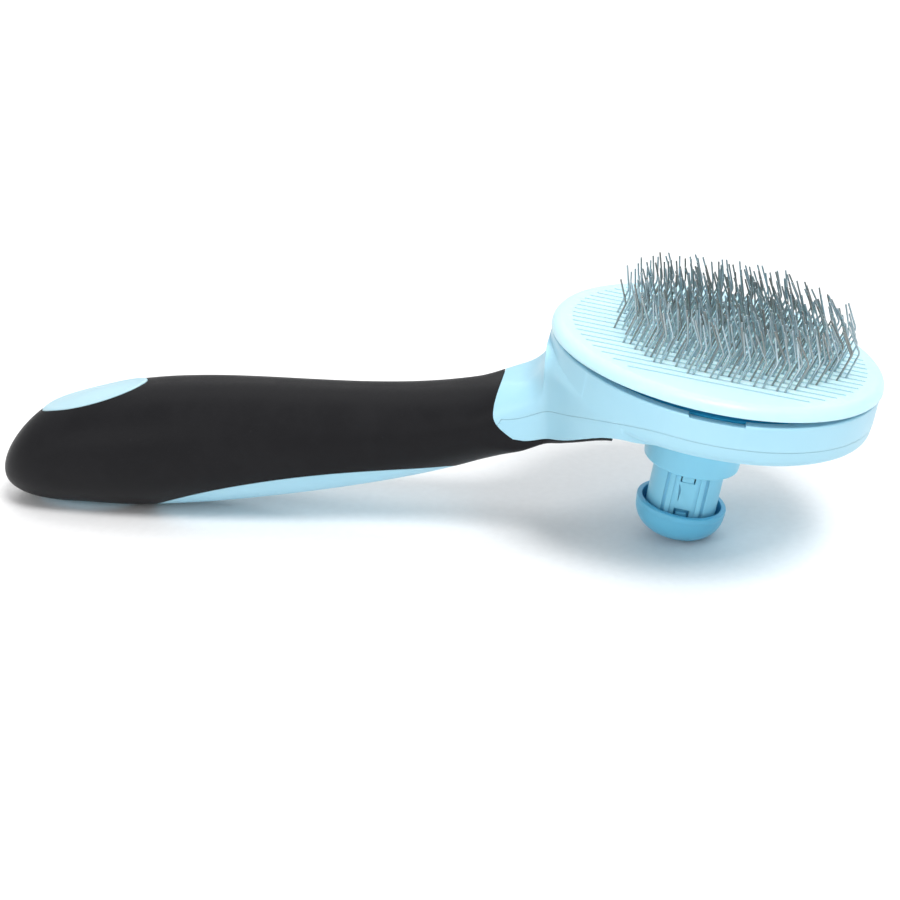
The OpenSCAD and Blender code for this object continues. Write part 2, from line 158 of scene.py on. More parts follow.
def handle_size(x):
    """Top, underside and half width of the handle."""
    t = (x - HANDLE_REAR) / (NECK_X - HANDLE_REAR)
    top = curve([27.6, 36.5, 36.5, 34.5, 33.9, 39.5], t)
    low = max(0.0, curve([0, -1.2, 2.5, 7, 10.5, 20], t))
    return top, low, curve([14.3, 17, 16.6, 12.6, 12.6, NECK_W], t)


def neck_size(x):
    """Top, underside and half width of the neck, which flares into the head's wall."""
    if x < COVE_START:
        top = 39.5 + 0.22 * (x - NECK_X)
    elif x < COVE_END:
        top = 49.46 - math.sqrt(81 - (x + 48.6) ** 2)
    else:
        top = plane_z(x, -3)
    low = mix(20 + 0.46 * (x - NECK_X), edge_z(x) - 3, ramp((x + 43) / 10))
    wall = (WALL_R - 0.15 - 2.2 * ramp((x + 22) / 11)) ** 2 - ((x + 1.6) / math.cos(TILT)) ** 2
    flare = 180 * ramp((x + 54) / 10) * ramp((-22 - x) / 14)
    neck = NECK_W ** 2
    return top, low, math.sqrt((neck + wall + math.hypot(neck - wall, flare)) / 2)


def body_size(x):
    """Top, underside and half width of the handle or the neck."""
    return handle_size(x) if x < NECK_X else neck_size(x)


def end_part(x):
    """0 along the handle, rising to 1 at the very end."""
    return max(0.0, (HANDLE_REAR - x) / (HANDLE_REAR - HANDLE_END))


def section_sizes(x, inset):
    """Middle height, half height and half width of a cross-section, with the end rounded off."""
    top, low, side = body_size(x)
    close = max(0.0, 1 - end_part(x) ** 2.7) ** (1 / 2.7)
    middle = (top + low) / 2 - 2 * end_part(x) ** 2
    return middle, max(0.3, (top - low) / 2 * close - inset), max(0.3, side * close - inset)


def half_section(x, inset, count):
    """The +Y half of a cross-section from top to bottom, as (y, z), evenly spaced."""
    middle, half, wide = section_sizes(x, inset)
    box = ramp((x + 58) / 14)
    ry = mix(wide, min(wide, 7), box)
    rz = mix(half, min(half, 6), box)
    low_y = mix(wide, min(wide, 14), box)
    low_r = mix(half, min(half, 3.2), box)
    turn = [math.radians(q) for q in span(0, 90, 31)]
    top, low = middle + half, middle - half
    points = [(0.0, top)]
    points += [(wide - ry + ry * math.sin(q), top - rz + rz * math.cos(q)) for q in turn]
    points += [(wide - low_y + low_y * math.cos(q), low + low_r - low_r * math.sin(q)) for q in turn]
    points += [(0.0, low)]
    points = np.array(points)
    length = np.concatenate([[0], np.cumsum(np.hypot(*np.diff(points, axis=0).T))])
    at = np.linspace(0, length[-1], count)
    return np.column_stack([np.interp(at, length, points[:, 0]), np.interp(at, length, points[:, 1])])


# ---------------------------------------------------------------- mesh makers
def solid(name, points, faces, place):
    """A closed mesh object. Its points are in the head's or the body's millimetres."""
    mesh = bpy.data.meshes.new(name)
    mesh.from_pydata([place @ Vector(p) for p in points], [], faces)
    work = bmesh.new()
    work.from_mesh(mesh)
    bmesh.ops.remove_doubles(work, verts=work.verts, dist=1e-7)
    bmesh.ops.recalc_face_normals(work, faces=work.faces)
    work.to_mesh(mesh)
    work.free()
    thing = bpy.data.objects.new(name, mesh)
    scene.collection.objects.link(thing)
    return thing


def spun(outline, segments=192, move=(0, 0, 0), warp=None):
    """A closed outline of (r, z) turned about the head's axis."""
    points, faces, rings = [], [], []
    for r, z in outline:
        first = len(points)
        if r < 1e-6:
            rings.append([first] * segments)
            points.append((move[0], move[1], z + move[2]))
            continue
        rings.append(list(range(first, first + segments)))
        for k in range(segments):
            angle = 2 * math.pi * (k + 0.5) / segments
            p = (move[0] + r * math.cos(angle), move[1] + r * math.sin(angle), z + move[2])
            points.append(warp(p) if warp else p)
    for one, two in zip(rings, rings[1:] + rings[:1]):
        for k in range(segments):
            after = (k + 1) % segments
            corners = list(dict.fromkeys([one[k], one[after], two[after], two[k]]))
            if len(corners) > 2:
                faces.append(corners)
    return solid("spun", points, faces, HEAD)


def disc(radius, low, high, centre=(0, 0), segments=192):
    return spun([(0, low), (radius, low), (radius, high), (0, high)], segments, move=(*centre, 0))


def lofted(xs, inset, around=80):
    """A skin through the body's cross-sections at xs, closed at both ends."""
    points, rings = [], []
    for x in xs:
        half = half_section(x, inset, around + 1)
        ring = [(x, y, z) for y, z in half] + [(x, -y, z) for y, z in half[-2:0:-1]]
        rings.append(list(range(len(points), len(points) + len(ring))))
        points += ring
    faces = [list(rings[0]), list(reversed(rings[-1]))]
    for one, two in zip(rings, rings[1:]):
        for k in range(len(one)):
            after = (k + 1) % len(one)
            faces.append([one[k], two[k], two[after], one[after]])
    return solid("loft", points, faces, BODY)


def prism(outline, place, low=-60, high=60, axis="y"):
    """An outline run straight along y, or along z for an outline of (x, y)."""
    points = []
    for level in (low, high):
        points += [(p[0], level, p[1]) if axis == "y" else (p[0], p[1], level) for p in outline]
    count = len(outline)
    faces = [list(range(count)), list(range(2 * count - 1, count - 1, -1))]
    faces += [[k, (k + 1) % count, count + (k + 1) % count, count + k] for k in range(count)]
    return solid("prism", points, faces, place)


def block(size, centre):
    """A box of the head's frame, for cutting and for ribs; its edges are rounded later."""
    x, y, z = (s / 2 for s in size)
    outline = [(centre[0] - x, centre[1] - y), (centre[0] + x, centre[1] - y),
               (centre[0] + x, centre[1] + y), (centre[0] - x, centre[1] + y)]
    return prism(outline, HEAD, centre[2] - z, centre[2] + z, "z")


def combined(operation, base, tools):
    for tool in tools:
        change = base.modifiers.new("cut", "BOOLEAN")
        change.operation = operation
        change.solver = "MANIFOLD"
        change.object = tool
    bake(base)
    for tool in tools:
        bpy.data.objects.remove(tool)
    return base


def bake(thing):
    """Applies a mesh's modifiers."""
    graph = bpy.context.evaluated_depsgraph_get()
    mesh = bpy.data.meshes.new_from_object(thing.evaluated_get(graph))
    thing.modifiers.clear()
    thing.data = mesh
    return thing


def minus(base, *tools):
    return combined("DIFFERENCE", base, tools)


def plus(base, *tools):
    return combined("UNION", base, tools)


def common(base, *tools):
    return combined("INTERSECT", base, tools)


def tube(path, radius, sides, taper=None):
    """Points and faces of a round bar along a path."""
    points, faces = [], []
    frame_x = Vector((0, 1, 0))
    path = [Vector(p) for p in path]
    for i, p in enumerate(path):
        ahead = (path[min(i + 1, len(path) - 1)] - path[max(i - 1, 0)]).normalized()
        frame_x = (frame_x - ahead * frame_x.dot(ahead)).normalized()
        frame_y = ahead.cross(frame_x)
        r = radius * (taper[i] if taper else 1)
        for k in range(sides):
            angle = 2 * math.pi * k / sides
            points.append(p + frame_x * r * math.cos(angle) + frame_y * r * math.sin(angle))
    for first in range(0, (len(path) - 1) * sides, sides):
        for k in range(sides):
            after = (k + 1) % sides
            faces.append([first + k, first + after, first + sides + after, first + sides + k])
    faces.append(list(range(sides - 1, -1, -1)))
    faces.append([(len(path) - 1) * sides + k for k in range(sides)])
    return points, faces


def finished(thing, name, material, body, nodes, bevel=0.0, angle=35):
    """Names a piece, rounds its edges, shades it and hands it to the frame."""
    thing.name = thing.data.name = name
    if bevel:
        edge = thing.modifiers.new("edge", "BEVEL")
        edge.width = bevel * MM
        edge.segments = 2
        edge.limit_method = "ANGLE"
        edge.angle_limit = math.radians(angle)
        edge.use_clamp_overlap = True
        bake(thing)
    thing.data.shade_smooth()
    thing.data.set_sharp_from_angle(angle=math.radians(angle))
    flat = thing.modifiers.new("flat_faces", "WEIGHTED_NORMAL")
    flat.keep_sharp = True
    thing.data.materials.clear()
    thing.data.materials.append(material)
    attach(thing, body)
    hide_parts(*nodes)
    return thing


# ---------------------------------------------------------------- materials
def material_nodes(name):
    material = bpy.data.materials.new(name)
    material.use_nodes = True
    tree = material.node_tree
    shader = tree.nodes["Principled BSDF"]
    place = tree.nodes.new("ShaderNodeTexCoord").outputs["Object"]
    return material, tree, shader, place


def noise(tree, place, per_mm, detail=3.0, roughness=0.5, stretch=(1, 1, 1)):
    """Noise with about per_mm blobs to the millimetre."""
    scale = tree.nodes.new("ShaderNodeMapping")
    scale.inputs["Scale"].default_value = [s / MM for s in stretch]
    texture = tree.nodes.new("ShaderNodeTexNoise")
    texture.inputs["Scale"].default_value = per_mm
    texture.inputs["Detail"].default_value = detail
    texture.inputs["Roughness"].default_value = roughness
    tree.links.new(place, scale.inputs["Vector"])
    tree.links.new(scale.outputs["Vector"], texture.inputs["Vector"])
    return texture.outputs["Fac"]


def spread(tree, value, low, high, start=0.3, end=0.7):
    """Maps a value between start and end onto low..high."""
    node = tree.nodes.new("ShaderNodeMapRange")
    node.inputs["From Min"].default_value = start
    node.inputs["From Max"].default_value = end
    node.inputs["To Min"].default_value = low
    node.inputs["To Max"].default_value = high
    tree.links.new(value, node.inputs["Value"])
    return node.outputs["Result"]


def blended(tree, factor, first, second):
    node = tree.nodes.new("ShaderNodeMix")
    node.data_type = "RGBA"
    for socket, colour in (("A", first), ("B", second)):
        inputs = [s for s in node.inputs if s.name == socket and s.type == "RGBA"]
        if isinstance(colour, tuple):
            inputs[0].default_value = (*colour, 1)
        else:
            tree.links.new(colour, inputs[0])
    tree.links.new(factor, node.inputs["Factor"])
    return [s for s in node.outputs if s.type == "RGBA"][0]


def added(tree, first, second):
    node = tree.nodes.new("ShaderNodeMath")
    node.operation = "ADD"
    tree.links.new(first, node.inputs[0])
    tree.links.new(second, node.inputs[1])
    return node.outputs[0]


def edge_light(tree, gain=1.0):
    """1 on sharp outer edges, 0 elsewhere."""
    geometry = tree.nodes.new("ShaderNodeNewGeometry")
    return spread(tree, geometry.outputs["Pointiness"], 0.0, gain, 0.52, 0.62)


def soft_edges(tree, shader, radius, height=None, depth=0.0, more=None, more_depth=0.0):
    """Rounds the shading of edges and adds one or two grains to the surface."""
    bevel = tree.nodes.new("ShaderNodeBevel")
    bevel.samples = 6
    bevel.inputs["Radius"].default_value = radius * MM
    normal = bevel.outputs["Normal"]
    for source, amount in ((height, depth), (more, more_depth)):
        if source is None:
            continue
        bump = tree.nodes.new("ShaderNodeBump")
        bump.inputs["Distance"].default_value = amount * MM
        tree.links.new(source, bump.inputs["Height"])
        tree.links.new(normal, bump.inputs["Normal"])
        normal = bump.outputs["Normal"]
    tree.links.new(normal, shader.inputs["Normal"])


def moulded_plastic(name, colour, deep, roughness=0.36, subsurface=0.12):
    """Satin ABS: faint flow marks, a fine spark-eroded grain and slightly polished edges."""
    material, tree, shader, place = material_nodes(name)
    flow = noise(tree, place, 0.035, 4.0, 0.55, (1.0, 1.6, 1.0))
    grain = noise(tree, place, 5.0, 2.0, 0.6)
    smudge = noise(tree, place, 0.11, 5.0, 0.6)
    tint = blended(tree, spread(tree, flow, 0.0, 1.0), colour, deep)
    worn = blended(tree, edge_light(tree, 0.35), tint, tuple(min(1.0, c * 1.12 + 0.03) for c in colour))
    tree.links.new(worn, shader.inputs["Base Color"])
    rough = spread(tree, smudge, roughness - 0.05, roughness + 0.07)
    fine = spread(tree, grain, -0.02, 0.02)
    tree.links.new(added(tree, rough, fine), shader.inputs["Roughness"])
    shader.inputs["Subsurface Weight"].default_value = subsurface
    shader.inputs["Subsurface Radius"].default_value = (1.0, 1.4, 1.8)
    shader.inputs["Subsurface Scale"].default_value = 1.2 * MM
    shader.inputs["IOR"].default_value = 1.5
    soft_edges(tree, shader, 0.25, grain, 0.012, flow, 0.25)
    return material


def soft_rubber(name, colour, pale, roughness=0.5):
    """Soft-touch rubber: a very fine matt grain, rubbed and dusty in places."""
    material, tree, shader, place = material_nodes(name)
    dust = noise(tree, place, 0.06, 6.0, 0.65)
    grain = noise(tree, place, 7.0, 3.0, 0.65)
    pores = noise(tree, place, 2.2, 2.0, 0.5)
    specks = spread(tree, noise(tree, place, 1.4, 2.0, 0.5), 0.0, 0.6, 0.68, 0.78)
    tint = blended(tree, spread(tree, dust, 0.0, 0.5, 0.45, 0.8), colour, pale)
    speckled = blended(tree, specks, tint, pale)
    worn = blended(tree, edge_light(tree, 0.6), speckled, pale)
    tree.links.new(worn, shader.inputs["Base Color"])
    rough = spread(tree, dust, roughness - 0.06, roughness + 0.1)
    fine = spread(tree, pores, -0.03, 0.03)
    tree.links.new(added(tree, rough, fine), shader.inputs["Roughness"])
    shader.inputs["IOR"].default_value = 1.45
    shader.inputs["Specular IOR Level"].default_value = 0.1
    shader.inputs["Sheen Weight"].default_value = 0.006
    shader.inputs["Sheen Roughness"].default_value = 0.4
    soft_edges(tree, shader, 0.3, grain, 0.02, pores, 0.015)
    return material


def drawn_steel(name, colour, dark, roughness, stretch, other=None):
    """Drawn wire or plated steel, with lengthwise marks, dull spots and a tint for each wire."""
    material, tree, shader, place = material_nodes(name)
    marks = noise(tree, place, 3.0, 3.0, 0.6, stretch)
    dull = noise(tree, place, 0.25, 4.0, 0.6)
    tint = blended(tree, spread(tree, marks, 0.0, 1.0), colour, dark)
    shade = blended(tree, spread(tree, dull, 0.0, 0.7, 0.5, 0.75), tint, dark)
    if other:
        island = tree.nodes.new("ShaderNodeNewGeometry").outputs["Random Per Island"]
        shade = blended(tree, spread(tree, island, 0.0, 1.0, 0.35, 1.0), shade, other)
    tree.links.new(shade, shader.inputs["Base Color"])
    shader.inputs["Metallic"].default_value = 1.0
    rough = spread(tree, dull, roughness - 0.06, roughness + 0.14)
    tree.links.new(rough, shader.inputs["Roughness"])
    bump = tree.nodes.new("ShaderNodeBump")
    bump.inputs["Distance"].default_value = 0.01 * MM
    tree.links.new(marks, bump.inputs["Height"])
    tree.links.new(bump.outputs["Normal"], shader.inputs["Normal"])
    return material


def floor_material():
    material, tree, shader, place = material_nodes("pale_floor")
    grain = noise(tree, place, 0.5, 3.0)
    tint = blended(tree, spread(tree, grain, 0.0, 1.0), (0.93, 0.93, 0.935), (0.9, 0.9, 0.905))
    tree.links.new(tint, shader.inputs["Base Color"])
    shader.inputs["Roughness"].default_value = 0.7
    shader.inputs["Specular IOR Level"].default_value = 0.2
    return material


BODY_BLUE = moulded_plastic("body_plastic", (0.37, 0.645, 0.775), (0.34, 0.62, 0.755))
PLATE_BLUE = moulded_plastic("plate_plastic", (0.55, 0.81, 0.90), (0.52, 0.79, 0.89), 0.38, 0.5)
CAP_BLUE = moulded_plastic("cap_plastic", (0.15, 0.53, 0.75), (0.13, 0.50, 0.73), 0.33)
# Painted shade: the collar and the stem get a deeper, more saturated copy of the body's blue, standing
# for the shade and blue bounce light under the head.
STEM_BLUE_PAINTED_SHADE = moulded_plastic("stem_plastic_painted_shade", (0.26, 0.66, 0.85), (0.24, 0.63, 0.83))
INLAY_BLUE = moulded_plastic("inlay_plastic", (0.45, 0.66, 0.74), (0.42, 0.64, 0.73), 0.38)
INNER_GREY = moulded_plastic("inner_plastic", (0.72, 0.76, 0.79), (0.68, 0.72, 0.76), 0.45, 0.0)
BLACK_RUBBER = soft_rubber("grip_rubber", (0.011, 0.011, 0.0125), (0.019, 0.019, 0.021), 0.4)
PAD_RUBBER = soft_rubber("pad_rubber", (0.02, 0.38, 0.68), (0.05, 0.44, 0.74), 0.55)
# Painted reflection: the wires' steel colour, and its darker marks and dull spots, are tinted blue-teal,
# standing for the blue plastic mirrored in the pins.
PIN_STEEL_BLUE_REFLECTION = drawn_steel("pin_steel", (0.62, 0.72, 0.76), (0.36, 0.46, 0.50), 0.32, (1, 1, 0.12),
                        (0.30, 0.29, 0.27))
SPRING_STEEL = drawn_steel("spring_steel", (0.62, 0.62, 0.63), (0.45, 0.45, 0.46), 0.25, (1, 1, 1))
SCREW_STEEL = drawn_steel("screw_steel", (0.45, 0.45, 0.47), (0.3, 0.3, 0.32), 0.35, (1, 1, 1))


# ---------------------------------------------------------------- regions that share the body out
def neck_zone(gap=0.0):
    """Side view of the bare neck: behind the grip's curved front edge, above its tongue."""
    edge = [(-52.1 - gap + 0.037 * (z - 34.4) ** 2, z) for z in span(44.0, 34.4, 40)]
    edge += [(-52.1 - gap + 0.139 * (z - 34.4) ** 2, z) for z in span(34.2, 28.4, 28)]
    edge += [(x, edge_z(x) - gap) for x in span(-44.5, -10.75, 90)]
    return prism([(60, 90), (-48.6 - gap, 90)] + edge + [(-10, 26), (60, 0)], BODY)


def spine_zone(gap=0.0):
    """Side view of the bare spine under the handle."""
    sweep = [(curve([-143.5, -136, -100, -64], t), curve([-1, 9, 17.5, 18.2], t) + gap)
             for t in span(0, 1, 90)]
    nose = [(-62.4 + gap, 17.6), (-61.2 + gap, 16), (-60.8 + gap, 13), (-62 + gap, -5)]
    return prism([(-144 - gap, -5)] + sweep + nose, BODY)


def oval_bar(x, half_x, half_y, low, high):
    """An upright bar of oval section, centred at x, for cutting the handle's end."""
    turn = [math.radians(a) for a in span(0, 356.25, 96)]
    outline = [(x + half_x * math.cos(a), half_y * math.sin(a)) for a in turn]
    return prism(outline, BODY, low, high, "z")


def end_oval(gap=0.0):
    """A second bare oval under the rounded end of the handle."""
    return oval_bar(-160, 14.06 + gap, 7.6 + gap, -5, 9)


def front_zone(gap=0.0):
    """Side view of everything above the joint between the two shells."""
    core = []
    for x in span(-185, -53, 60):
        top, low, _ = handle_size(max(x, HANDLE_REAR))
        core.append((x, (top + low) / 2 - 2 + gap))
    line = [(x, seam_z(x) + gap) for x in span(-50, -9.5, 100)]
    return prism([(-185, 90)] + core + line + [(60, plane_z(60, -SEAM_D) + gap), (60, 90)], BODY)


END_XS = [HANDLE_REAR - (HANDLE_REAR - HANDLE_END) * math.cos(math.radians(a)) for a in span(2, 88, 30)]
HANDLE_XS = span(HANDLE_REAR, -58, 108)
NECK_XS = sorted(span(-57.4, -45, 26) + span(-44.5, -40, 19) + span(COVE_END, -11, 70))
CORE_XS = span(-179.6, -165.2, 12) + span(HANDLE_REAR, -46, 80)


def cavity():
    """The hollow inside the handle's core and the neck."""
    trim = [(-60, 0)] + [(x, edge_z(max(x, -44)) + 2.2) for x in span(-60, -18, 24)] + [(-10, 0)]
    neck = minus(lofted(span(-51, -20, 40), WALL_T, 40), prism(trim, BODY))
    return plus(lofted(span(-170, -50, 50), GRIP_T + 2.6, 40), neck)


def saddle(p):
    """Moves a point of the drum: the wall's rim dips toward both sides of the head."""
    weight = ramp((p[2] + 4) / 3)
    return p[0], p[1], p[2] - weight * p[1] ** 2 / 1050


def drum():
    """The head's solid drum, with its rounded rims."""
    return spun(rounded([(0, -0.35, 0), (WALL_R, -0.35, 0.5), (WALL_R, -SEAM_D, 0),
                         (WALL_R - 0.35, -RIM_D, 2.0), (0, -RIM_D, 0)], 8), 256, warp=saddle)


def dome():
    """The low cone under the head, down to the collar."""
    return spun(rounded([(0, 1 - RIM_D, 0), (WALL_R - 3, 1 - RIM_D, 0), (WALL_R - 3, -RIM_D, 0),
                         (14.2, -DOME_D, 0.6), (0, -DOME_D, 0)]))


def bare_body():
    """The bare neck and the core that the rubber covers."""
    neck = common(lofted([x for x in NECK_XS if x > -56], 0), neck_zone())
    return plus(neck, lofted(CORE_XS, GRIP_T, 60))


def front_shell():
    shell = common(plus(bare_body(), drum()), front_zone(SEAM_GAP / 2))
    shell = minus(shell, cavity())
    flange = spun([(FLANGE_BORE, FLANGE_LOW), (LAP_R, FLANGE_LOW), (LAP_R, -6.9), (FLANGE_BORE, -6.9)])
    bore = WALL_R - WALL_T
    inside = spun(rounded([(0, 8, 0), (bore + 0.5, 8, 0), (bore + 0.5, 0.4, 0), (bore, -1.5, 0),
                           (bore, BACKING_LOW, 0), (0, BACKING_LOW, 0)]), 256)
    window = rounded([(-5.4, -2.3, 0.3), (7.2, -2.3, 0.3), (7.2, 4, 0), (-5.4, 4, 0)])
    shell = minus(plus(shell, flange), inside, disc(HEAD_BORE, -20, 10),
                  prism(window, HEAD, -50, -35.5))
    return finished(shell, "moulded_front_shell", BODY_BLUE, "housing", ["front_shell"])


def rear_shell():
    spine = common(lofted(END_XS + HANDLE_XS, 0.02), plus(spine_zone(), end_oval()))
    floor = spun([(0, 5), (LAP_R + 0.1, 5), (LAP_R + 0.1, 2.2 - RIM_D), (HEAD_BORE, 2.2 - RIM_D),
                  (14, 2.2 - DOME_D), (12.7, 2.2 - DOME_D), (12.7, -30), (0, -30)])
    shell = minus(plus(bare_body(), drum(), spine, dome()), front_zone(-SEAM_GAP / 2), cavity(), floor)
    for turn in SCREW_TURNS:
        angle = math.radians(turn)
        at = (SCREW_RING_R * math.cos(angle), SCREW_RING_R * math.sin(angle))
        shell = minus(shell, disc(SCREW_HOLE_R, -14, -6, at, 32),
                      disc(SCREW_HEAD_R, -14, SCREW_HEAD_D - RIM_D, at, 48))
    return finished(shell, "moulded_rear_shell", BODY_BLUE, "housing", ["rear_shell"])


def guide_collar():
    outline = rounded([(GUIDE_R, -11.8, 0.2), (16, -11.8, 0.2), (16, 2.95 - DOME_D, 0),
                       (12.6, 2.2 - DOME_D, 0), (12.6, -DOME_D, 0), (COLLAR_R, -COLLAR_D, 0.7),
                       (STEM_R + RUN_FIT, -COLLAR_D, 0.25), (STEM_R + RUN_FIT, LIP_T - COLLAR_D, 0),
                       (GUIDE_R, LIP_T - COLLAR_D, 0)])
    return finished(spun(outline), "moulded_guide_collar", STEM_BLUE_PAINTED_SHADE, "housing",
                    ["guide_collar"])


def rubber_grip():
    skin = lofted(END_XS + HANDLE_XS + NECK_XS, 0)
    oval = oval_bar(INLAY_X, INLAY_LEN / 2, INLAY_W / 2, 12, 52)
    tip = prism([(-22.5, 90), (60, 90), (60, -5), (-22.5, -5)], BODY)
    grip = minus(skin, lofted(CORE_XS, GRIP_T - 0.02, 60), neck_zone(GRIP_GAP), spine_zone(GRIP_GAP),
                 end_oval(GRIP_GAP), dome(), oval, tip)
    return finished(grip, "moulded_rubber_grip", BLACK_RUBBER, "housing", ["rubber_grip"])


def end_inlay():
    """An oval button in the end of the grip: a rounded rim round a dished middle."""
    def surface(x, y):
        middle, half, wide = section_sizes(x, 0)
        return middle + half * math.sqrt(max(0.0, 1 - (y / wide) ** 2))
    levels = [(0.0, -0.25), (0.3, -0.25), (0.6, -0.22), (0.78, -0.2), (0.83, -0.12), (0.87, 0.08),
              (0.9, 0.2), (0.93, 0.25), (0.96, 0.22), (0.985, 0.1), (0.995, -0.1), (0.995, -2.2),
              (0.0, -2.2)]
    around = 96
    points, faces, rings = [], [], []
    half_x, half_y = INLAY_LEN / 2 - 0.1, INLAY_W / 2 - 0.1
    for reach, level in levels:
        rings.append(list(range(len(points), len(points) + around)))
        for k in range(around):
            angle = 2 * math.pi * k / around
            x = INLAY_X + reach * half_x * math.cos(angle)
            y = reach * half_y * math.sin(angle)
            points.append((x, y, surface(x, y) + level))
    for one, two in zip(rings, rings[1:]):
        for k in range(around):
            faces.append([one[k], one[(k + 1) % around], two[(k + 1) % around], two[k]])
    return finished(solid("inlay", points, faces, BODY), "moulded_end_inlay", INLAY_BLUE, "housing",
                    ["end_inlay"])


# ---------------------------------------------------------------- cleaning plate and pins
def row_offset(row):
    return (row - (SLOT_ROWS - 1) / 2) * ROW_PITCH


def cleaning_plate():
    plate = spun(rounded([(0, 0, 0), (PLATE_R, 0, 0.3), (PLATE_R, PLATE_T, PLATE_ROUND - 0.02),
                          (0, PLATE_T, 0)], 10), 256)
    slots = []
    for row in range(SLOT_ROWS):
        b = row_offset(row)
        half = math.sqrt(SLOT_REACH ** 2 - b * b)
        w = SLOT_W / 2
        end_r = w * 0.98
        outline = rounded([(-half, b - w, end_r), (half, b - w, end_r),
                           (half, b + w, end_r), (-half, b + w, end_r)], 5)
        slots.append(prism(outline, HEAD, -1, PLATE_T + 1, "z"))
    plate = minus(plate, *slots)
    return finished(plate, "moulded_cleaning_plate", PLATE_BLUE, "plunger",
                    ["cleaning_plate"], bevel=0.14, angle=40)


def leg(root, b, lean, draw):
    """One bent leg of a staple, from its crown to its tip, a little out of true."""
    low = math.radians(LEAN_LOW + draw.uniform(-1.8, 1.8))
    top = math.radians(lean + draw.uniform(-9, 9))
    side_low = math.radians(draw.uniform(-0.25, 0.25))
    side_top = math.radians(draw.uniform(-1.7, 1.7))
    knee = PLATE_T + KNEE_H + draw.uniform(-0.4, 0.4)
    tip = PLATE_T + TIP_H + draw.uniform(-0.9, 0.0)
    bend = 0.7
    base = Vector((root, b, CROWN_H))
    joint = base + Vector((math.tan(low), math.tan(side_low), 1)) * (knee - CROWN_H)
    end = joint + Vector((-math.tan(top), math.tan(side_top), 1)) * (tip - knee)
    into = joint + (base - joint).normalized() * bend
    out = joint + (end - joint).normalized() * bend
    arc = [curve([into, joint, out], t) for t in span(0, 1, 6)]
    near_tip = end - (end - joint).normalized() * 0.12
    return [base] + arc + [near_tip, end]


def pin_column(number):
    draw = random.Random(number)
    points, faces = [], []
    for row in range(SLOT_ROWS):
        a = FIELD_A + (number - (PIN_COLUMNS + 1) / 2 + 0.25 - 0.5 * (row % 2)) * COLUMN_PITCH
        root = a - (PLATE_T - CROWN_H) * math.tan(math.radians(LEAN_LOW))
        lean = LEAN_TOP + LEAN_SPREAD * a
        b = row_offset(row)
        if math.hypot(a - FIELD_A, b) >= FIELD_R:
            continue
        bars = []
        for side in (-1, 1):
            path = leg(root + side * LEG_GAP / 2, b, lean, draw)
            bars.append(tube(path, WIRE_R, 10, [1.0] * (len(path) - 1) + [0.6]))
        crown = [(root - LEG_GAP / 2 - 0.1, b, CROWN_H), (root + LEG_GAP / 2 + 0.1, b, CROWN_H)]
        bars.append(tube(crown, WIRE_R * 0.9, 10))
        for bar_points, bar_faces in bars:
            base = len(points)
            points += bar_points
            faces += [[base + i for i in face] for face in bar_faces]
    pins = solid("pins", points, faces, HEAD)
    name = f"pins_column_{number:02d}"
    return finished(pins, "wire_" + name, PIN_STEEL_BLUE_REFLECTION, "housing", [name], angle=50)


# ---------------------------------------------------------------- plunger
def plunger_stem():
    lip, flange = LIP_T - COLLAR_D, LIP_T + FLANGE_T - COLLAR_D
    flange_r = GUIDE_R - 0.3
    stem = spun(rounded([(STEM_BORE, STEM_TOP, 0.2), (STEM_R, STEM_TOP, 0.3), (STEM_R, flange, 0),
                         (flange_r, flange, 0), (flange_r, lip, 0), (STEM_R, lip, 0),
                         (STEM_R, -CAP_FLOOR, 0), (STEM_BORE, -CAP_FLOOR, 0)]), 128)
    prong_foot = -22
    stem = plus(stem, *[block((7.6, 1.2, PRONG_TOP - prong_foot),
                              (0, s * PRONG_B, (PRONG_TOP + prong_foot) / 2)) for s in (-1, 1)])
    panel_h, panel_z = CAP_FLOOR - 26.5, -(CAP_FLOOR + 28.5) / 2
    cuts = []
    for s in (-1, 1):
        cuts.append(block((6.2, 2.0, panel_h), (0, s * 8.8, panel_z)))
        for side in (-4.7, 4.7):
            cuts.append(block((0.8, 2.6, panel_h), (side, s * 8, panel_z)))
        cuts.append(block((3.8, 3.0, 2.8), (0, s * 8, -40.3)))
        cuts.append(block((3.6, 3.0, 2.4), (0, s * 8, -30.5)))
        cuts.append(block((20, 3.1, 3), (0, s * 9.4, -19.5)))
    slit = [(-1.9, -32.5), (-1.75, -32.5), (-1.2, -34.0), (-1.35, -36.8), (-1.45, -36.8), (-1.75, -33.7)]
    cuts.append(prism(slit, HEAD, -9, -7.2))
    fingers = [block((2.9, 0.5, 2.0), (0, s * 7.4, -30.85)) for s in (-1, 1)]
    stem = plus(minus(stem, *cuts), *fingers)
    return finished(stem, "moulded_plunger_stem", STEM_BLUE_PAINTED_SHADE, "plunger",
                    ["plunger_stem"], bevel=0.12, angle=40)


def button_cap():
    bore = STEM_BORE - 0.1
    cap = spun(rounded([(0, -CAP_D, 0), (CAP_R - 0.1, -CAP_D, CAP_ROUND), (CAP_R - 0.1, -41.2, 0),
                        (CAP_R, -41.0, 0.1), (CAP_R, -CAP_RIM_D, 0.45), (9.9, -CAP_RIM_D, 0.2),
                        (9.9, -CAP_FLOOR, 0.2), (bore, -CAP_FLOOR, 0), (bore, -PLUG_TOP, 0.3),
                        (0, -PLUG_TOP, 0)], 12), 160)
    cap = plus(cap, *[block((2.6, 1.8, 1.8), (0, s * 7.1, -40.6)) for s in (-1, 1)])
    return finished(cap, "moulded_button_cap", CAP_BLUE, "plunger", ["button_cap"])


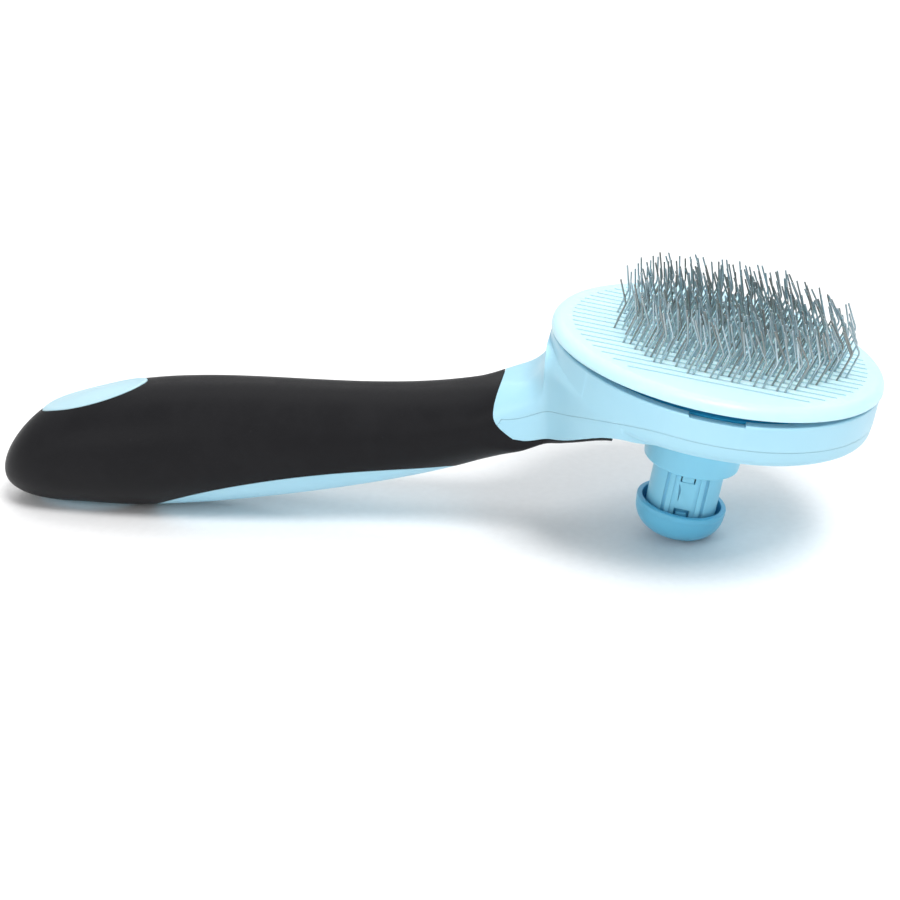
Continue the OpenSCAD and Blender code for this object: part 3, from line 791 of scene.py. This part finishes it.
def return_spring():
    """A compression spring with closed ends."""
    start = -PLUG_TOP + COIL_WIRE + 0.05
    finish = BACKING_LOW - COIL_WIRE - 0.05
    ends = 1 / SPRING_TURNS
    path = []
    for t in span(0, 1, SPRING_TURNS * 36 + 1):
        if t < ends:
            lift = 0.25 * t
        elif t > 1 - ends:
            lift = 1 - 0.25 * (1 - t)
        else:
            lift = mix(0.25 * ends, 1 - 0.25 * ends, (t - ends) / (1 - 2 * ends))
        turn = 2 * math.pi * SPRING_TURNS * t
        path.append((COIL_R * math.cos(turn), COIL_R * math.sin(turn), mix(start, finish, lift)))
    coil = solid("coil", *tube(path, COIL_WIRE, 12), HEAD)
    finished(coil, "wire_return_spring", SPRING_STEEL, "housing", ["return_spring"])
    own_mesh(coil)
    return coil


front_shell()
rear_shell()
guide_collar()
rubber_grip()
end_inlay()
cleaning_plate()
for column in range(1, PIN_COLUMNS + 1):
    pin_column(column)
plunger_stem()
button_cap()
return_spring()

KEPT_NODES = {"pin_pad": PAD_RUBBER, "pin_backing_plate": INNER_GREY,
              "pad_screws": SCREW_STEEL, "shell_screws": SCREW_STEEL}
for node, material in KEPT_NODES.items():
    mesh = frame["nodes"][node].data
    mesh.materials.clear()
    mesh.materials.append(material)


# ---------------------------------------------------------------- studio
def studio_floor():
    half = 3000
    floor = prism([(-half, -half), (half, -half), (half, half), (-half, half)],
                  Matrix.Scale(MM, 4), -20, 0, "z")
    floor.name = "studio_floor"
    floor.data.materials.append(floor_material())


def softbox(name, place, aim, size, power):
    data = bpy.data.lights.new(name, "AREA")
    data.shape = "RECTANGLE"
    data.size, data.size_y = size
    data.energy = power
    light = bpy.data.objects.new(name, data)
    light.location = place
    light.rotation_euler = (Vector(aim) - Vector(place)).to_track_quat("-Z", "Y").to_euler()
    scene.collection.objects.link(light)


def studio_light():
    world = bpy.data.worlds.new("white_studio")
    world.use_nodes = True
    world.node_tree.nodes["Background"].inputs["Color"].default_value = (1, 1, 1, 1)
    world.node_tree.nodes["Background"].inputs["Strength"].default_value = 0.5
    scene.world = world
    softbox("key_softbox", (0.33, -0.42, 0.97), (0.03, 0, 0), (0.4, 0.4), 8.5)
    softbox("back_softbox", (-0.2, 0.3, 1.0), (0, 0, 0), (0.9, 0.5), 3)
    softbox("fill_softbox", (-0.7, -0.9, 0.5), (0, 0, 0.02), (0.8, 0.6), 3)
    softbox("backdrop_softbox", (0, 1.3, 0.9), (0, 1.5, 0), (2.4, 0.6), 14)


def photo_camera():
    data = bpy.data.cameras.new("photo_camera")
    data.lens = 64.4
    data.sensor_width = 36
    data.shift_x = -0.0198
    data.shift_y = -0.0237
    data.clip_start = 0.01
    camera = bpy.data.objects.new("photo_camera", data)
    camera.location = (0.0658, -0.3658, 0.1806)
    aim = Vector((0.01116, 0, 0.025))
    turn = (aim - camera.location).to_track_quat("-Z", "Y")
    camera.rotation_euler = (turn @ Quaternion((0, 0, 1), -0.0045)).to_euler()
    scene.collection.objects.link(camera)
    scene.camera = camera


studio_floor()
studio_light()
photo_camera()
scene.view_settings.view_transform = "Standard"
